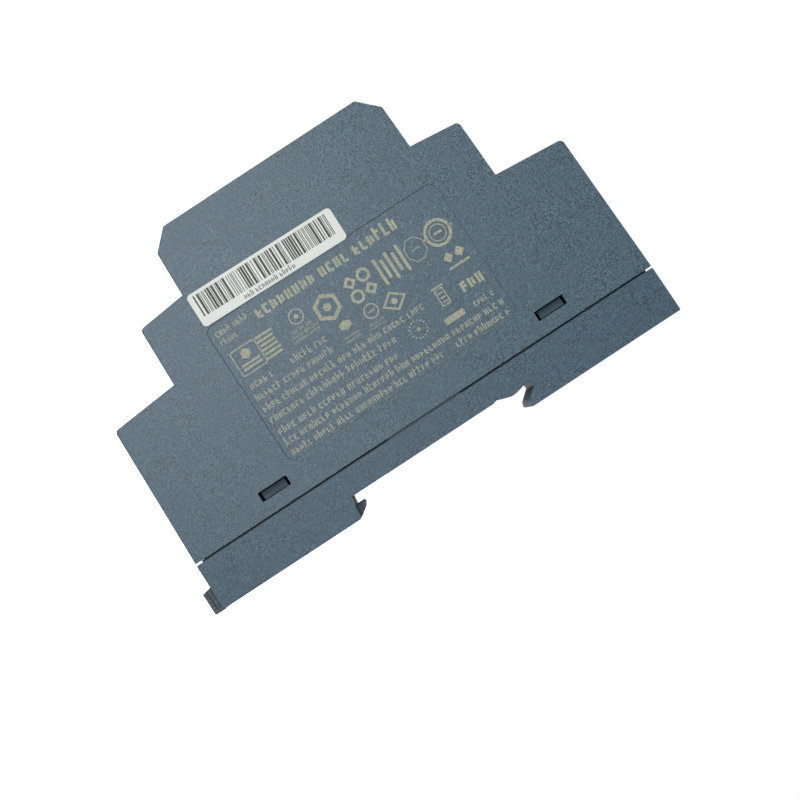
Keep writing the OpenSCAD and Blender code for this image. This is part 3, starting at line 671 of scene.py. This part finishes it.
def addLaserMarks(look):
    chance = random.Random(look["seed"])
    place = panel((look["floorX"], look["topY"], look["leftZ"]), (0, 0, 1), (0, -1, 0), (1, 0, 0))
    rows = bmesh.new()
    for row in markRows:
        scribble(rows, *row, chance)
    layMarks("laserRows", rows, "case", place, look["lift"], laserPale)
    bold = bmesh.new()
    for row in boldRows:
        scribble(bold, *row, chance, strokeLook["bold"])
    drawSymbols(bold, chance)
    layMarks("laserSymbols", bold, "case", place, look["lift"], laserPale)
    faint = bmesh.new()
    for line in hairlines:
        plate(faint, *line)
    layMarks("laserHairlines", faint, "case", place, look["lift"], laserFaint)


addLaserMarks(recessLook)
print("laser marks laid")


# serial label

stickerLook = {"place": (halfWidth + 0.003, noseY + 15.13, -8.28), "size": (27.9, 6.0), "corner": 0.7,
               "turn": -0.9, "film": 0.09, "ink": 0.01,
               "bars": (-13.0, 13.35), "barTop": 2.45, "barFoot": -1.4, "lastBar": 0.6,
               "widths": (0.13, 0.13, 0.13, 0.26, 0.39), "gaps": (0.13, 0.13, 0.26, 0.26, 0.39),
               "row": (-5.7, -1.6, 10.4, 1.0), "rowWeight": 0.15, "seed": 40}


def addSticker(look):
    chance = random.Random(look["seed"])
    place = panel(look["place"], (0, 0, 1), (0, -1, 0), (1, 0, 0), math.radians(look["turn"]))
    film = bmesh.new()
    plate(film, 0, 0, *look["size"], look["corner"])
    sticker = layMarks("serialLabel", film, "case", place, look["film"], labelFilm)
    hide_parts("serial_label")
    ink = bmesh.new()
    at, end = look["bars"]
    height = look["barTop"] - look["barFoot"]
    while at < end - look["lastBar"]:
        width = chance.choice(look["widths"])
        plate(ink, at + width / 2, look["barFoot"] + height / 2, width, height)
        at += width + chance.choice(look["gaps"])
    scribble(ink, *look["row"], chance, look["rowWeight"])
    onFilm = place @ Matrix.Translation((0, 0, look["film"]))
    layMarks("serialLabelInk", ink, "case", onFilm, look["ink"], labelInk)


addSticker(stickerLook)
print("serial label made")


# marks on the nose, by the terminals and on the unmarked side

trimmerLow, trimmerHigh = (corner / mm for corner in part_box("trimmer_rotor"))
noseLook = {"fieldY": noseY + 0.15, "lift": 0.02, "seed": 7, "left": -6.2, "width": 12.4, "top": 2.9,
            "heading": 2.1, "rows": 5, "firstRow": 3.6, "rowStep": 2.1, "rowWidth": (9, 12.4),
            "rowHeight": 1.15, "rule": (14.6, 0.16)}
dialLook = {"lift": 0.01, "radius": 3.0, "dots": 9, "from": 225, "sweep": 270, "dot": 0.13, "growth": 0.02,
            "sides": 10, "signX": 4.4, "signDrop": 1.6, "sign": 1.1, "stroke": 0.22}


def drawPlus(bm, x, y, size, stroke):
    plate(bm, x, y, size, stroke)
    for side in (-1, 1):
        # two stubs, so that no faces cross
        plate(bm, x, y + side * (size + stroke) / 4, stroke, (size - stroke) / 2)


def addNoseMarks(look):
    chance = random.Random(look["seed"])
    field = panel((0, look["fieldY"], 0), (1, 0, 0), (0, 0, 1), (0, -1, 0))
    rows = bmesh.new()
    scribble(rows, look["left"], look["top"], look["width"], look["heading"], chance, strokeLook["bold"])
    for row in range(look["rows"]):
        top = look["top"] - look["firstRow"] - look["rowStep"] * row
        scribble(rows, look["left"], top, chance.uniform(*look["rowWidth"]), look["rowHeight"], chance)
    ruleDrop, ruleHeight = look["rule"]
    plate(rows, 0, look["top"] - ruleDrop, look["width"], ruleHeight)
    layMarks("noseFieldMarks", rows, "case", field, look["lift"], laserPale)


def addDialMarks(look):
    # dots that grow round the trimmer, with a minus and a plus at their ends
    face = panel((0, noseY, 0), (1, 0, 0), (0, 0, 1), (0, -1, 0))
    dial = bmesh.new()
    middleZ = (trimmerLow.z + trimmerHigh.z) / 2
    radius = look["radius"]
    for step in range(look["dots"]):
        angle = math.radians(look["from"] - look["sweep"] * step / (look["dots"] - 1))
        dot = look["dot"] + look["growth"] * step
        disc(dial, radius * math.cos(angle), middleZ + radius * math.sin(angle), dot, look["sides"])
    signZ = middleZ - look["signDrop"]
    plate(dial, -look["signX"], signZ, look["sign"], look["stroke"])
    drawPlus(dial, look["signX"], signZ, look["sign"], look["stroke"])
    layMarks("noseDialMarks", dial, "case", face, look["lift"], laserPale)


screwLow, screwHigh = (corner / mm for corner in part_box("output_screw_right"))
poleLook = {"x": (screwLow.x + screwHigh.x) / 2, "shelfY": noseY + 24, "z": 42.1,
            "sign": 1.7, "stroke": 0.3, "dot": 0.5, "sides": 16, "barDrop": 0.95, "bar": 0.2, "lift": 0.02}


def addTerminalMarks(look):
    # plus and minus over the output poles, a plain bar and dot over each input pole
    shelf = panel((0, look["shelfY"], 0), (1, 0, 0), (0, 0, 1), (0, -1, 0))
    marks = bmesh.new()
    drawPlus(marks, -look["x"], look["z"], look["sign"], look["stroke"])
    plate(marks, look["x"], look["z"], look["sign"], look["stroke"])
    for x in (-look["x"], look["x"]):
        disc(marks, x, -look["z"], look["dot"], look["sides"])
        plate(marks, x, -look["z"] - look["barDrop"], look["sign"], look["bar"])
    layMarks("terminalMarks", marks, "case", shelf, look["lift"], laserPale)


# rings are radius, sides and rim
mouldLook = {"place": (-halfWidth + 0.15, noseY + 31, -16), "rings": ((3.1, 40, 0.18), (1.5, 32, 0.15)),
             "months": 12, "monthRadius": 2.25, "month": 0.22, "sides": 10, "arrow": (0, 0.3, 0.25, 1.7),
             "lift": 0.05}
pinLook = {"backY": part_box("rear_base")[1].y / mm, "x": (-6, 6), "z": (-40, -24, 22, 31, 40), "radius": 1.4,
           "sides": 32, "rim": 0.1, "lift": 0.02}


def addMouldRing(look):
    # the mould's date ring in the recess of the unmarked side
    place = panel(look["place"], (0, 0, -1), (0, -1, 0), (-1, 0, 0))
    ring = bmesh.new()
    for radius, sides, rim in look["rings"]:
        hollow(ring, disc(ring, 0, 0, radius, sides), rim)
    for step in range(look["months"]):
        angle = 2 * math.pi * step / look["months"]
        x = look["monthRadius"] * math.cos(angle)
        y = look["monthRadius"] * math.sin(angle)
        disc(ring, x, y, look["month"], look["sides"])
    plate(ring, *look["arrow"])
    layMarks("mouldDateRing", ring, "case", place, look["lift"], casePlastic)


def addPinRings(look):
    # witness rings of the ejector pins on the back of the base
    back = panel((0, look["backY"], 0), (-1, 0, 0), (0, 0, 1), (0, 1, 0))
    pins = bmesh.new()
    for x in look["x"]:
        for z in look["z"]:
            hollow(pins, disc(pins, x, z, look["radius"], look["sides"]), look["rim"])
    layMarks("ejectorRings", pins, "case", back, look["lift"], casePlastic)


addNoseMarks(noseLook)
addDialMarks(dialLook)
addTerminalMarks(poleLook)
addMouldRing(mouldLook)
addPinRings(pinLook)
print("small marks laid")


# camera, lights and floor

# the camera's place and aim are y and z, in millimetres, and the roll is in degrees
cameraLook = {"distance": 265, "foot": (-5.2, -3.8), "aim": (-9.6, -1.9), "roll": 33.25, "lens": 72.4,
              "sensor": 36, "near": 10 * mm, "far": 100}
worldLook = {"light": 0.53, "seen": 1.0}
# place, width and power of each light
lightLook = {"sheenLight": ((420, -125, -70), 210, 0.95), "keyLight": ((260, -330, -160), 240, 2.2),
             "fillLight": ((-230, -260, 300), 300, 2.6), "backLight": ((-90, 420, 180), 300, 1.6)}
floorLook = {"drop": 60, "size": 4, "glow": 0.95, "paper": (0.93, 0.93, 0.93), "mottle": (0.90, 0.90, 0.91),
             "cloud": 40, "cloudMix": 0.3, "wave": 60, "waveRough": 0.1, "rough": 0.75}


def addCamera(look):
    cam = bpy.data.objects.new("camera", bpy.data.cameras.new("camera"))
    bpy.context.scene.collection.objects.link(cam)
    roll = math.radians(look["roll"])
    place = Vector((halfWidth + look["distance"], *look["foot"])) * mm
    back = (place - Vector((halfWidth, *look["aim"])) * mm).normalized()
    up = Vector((0, -math.cos(roll), math.sin(roll)))
    right = up.cross(back).normalized()
    up = back.cross(right)
    cam.matrix_world = Matrix.Translation(place) @ Matrix((right, up, back)).transposed().to_4x4()
    cam.data.sensor_width = look["sensor"]
    cam.data.lens = look["lens"]
    cam.data.clip_start = look["near"]
    cam.data.clip_end = look["far"]
    bpy.context.scene.camera = cam


def addSoftbox(name, place, size, power):
    objectMiddle = (cadBox[0] + cadBox[1]) / 2
    data = bpy.data.lights.new(name, "AREA")
    data.shape = "DISK"
    data.size = size * mm
    data.energy = power
    light = bpy.data.objects.new(name, data)
    bpy.context.scene.collection.objects.link(light)
    light.location = Vector(place) * mm
    light.rotation_mode = "QUATERNION"
    light.rotation_quaternion = (objectMiddle - light.location).to_track_quat("-Z", "Y")


def addWorld(look):
    # the camera sees a white surround, and the object is lit by a softer one
    world = bpy.data.worlds.new("studio")
    bpy.context.scene.world = world
    world.use_nodes = True
    g = Graph(world.node_tree)
    seen = g.out("LightPath", name="Is Camera Ray")
    strength = seen * (look["seen"] - look["light"]) + look["light"]
    surround = g.out("Background", None, {"Color": (1, 1, 1), "Strength": strength})
    g.add("OutputWorld", None, {"Surface": surround})


def addFloor(look):
    f = Finish("floorPaper")
    base = f.blend(f.noise(look["cloud"]) * look["cloudMix"], look["paper"], look["mottle"])
    rough = f.noise(look["wave"]) * look["waveRough"] + look["rough"]
    paper = f.surface({"Base Color": base, "Roughness": rough, "Emission Color": (1, 1, 1),
                       "Emission Strength": look["glow"]})
    bm = bmesh.new()
    place = Matrix.Translation((0, 0, cadBox[0].z - look["drop"] * mm))
    bmesh.ops.create_grid(bm, x_segments=2, y_segments=2, size=look["size"], matrix=place)
    mesh = bpy.data.meshes.new("floor")
    bm.to_mesh(mesh)
    bm.free()
    mesh.materials.append(paper)
    floor = bpy.data.objects.new("floor", mesh)
    bpy.context.scene.collection.objects.link(floor)
    # its glow is for the eye only and doesn't light the object
    floor.visible_diffuse = False
    floor.visible_glossy = False


addCamera(cameraLook)
addWorld(worldLook)
for name, (place, size, power) in lightLook.items():
    addSoftbox(name, place, size, power)
bpy.context.scene.view_settings.view_transform = "Standard"
addFloor(floorLook)
print("camera, lights and floor placed")
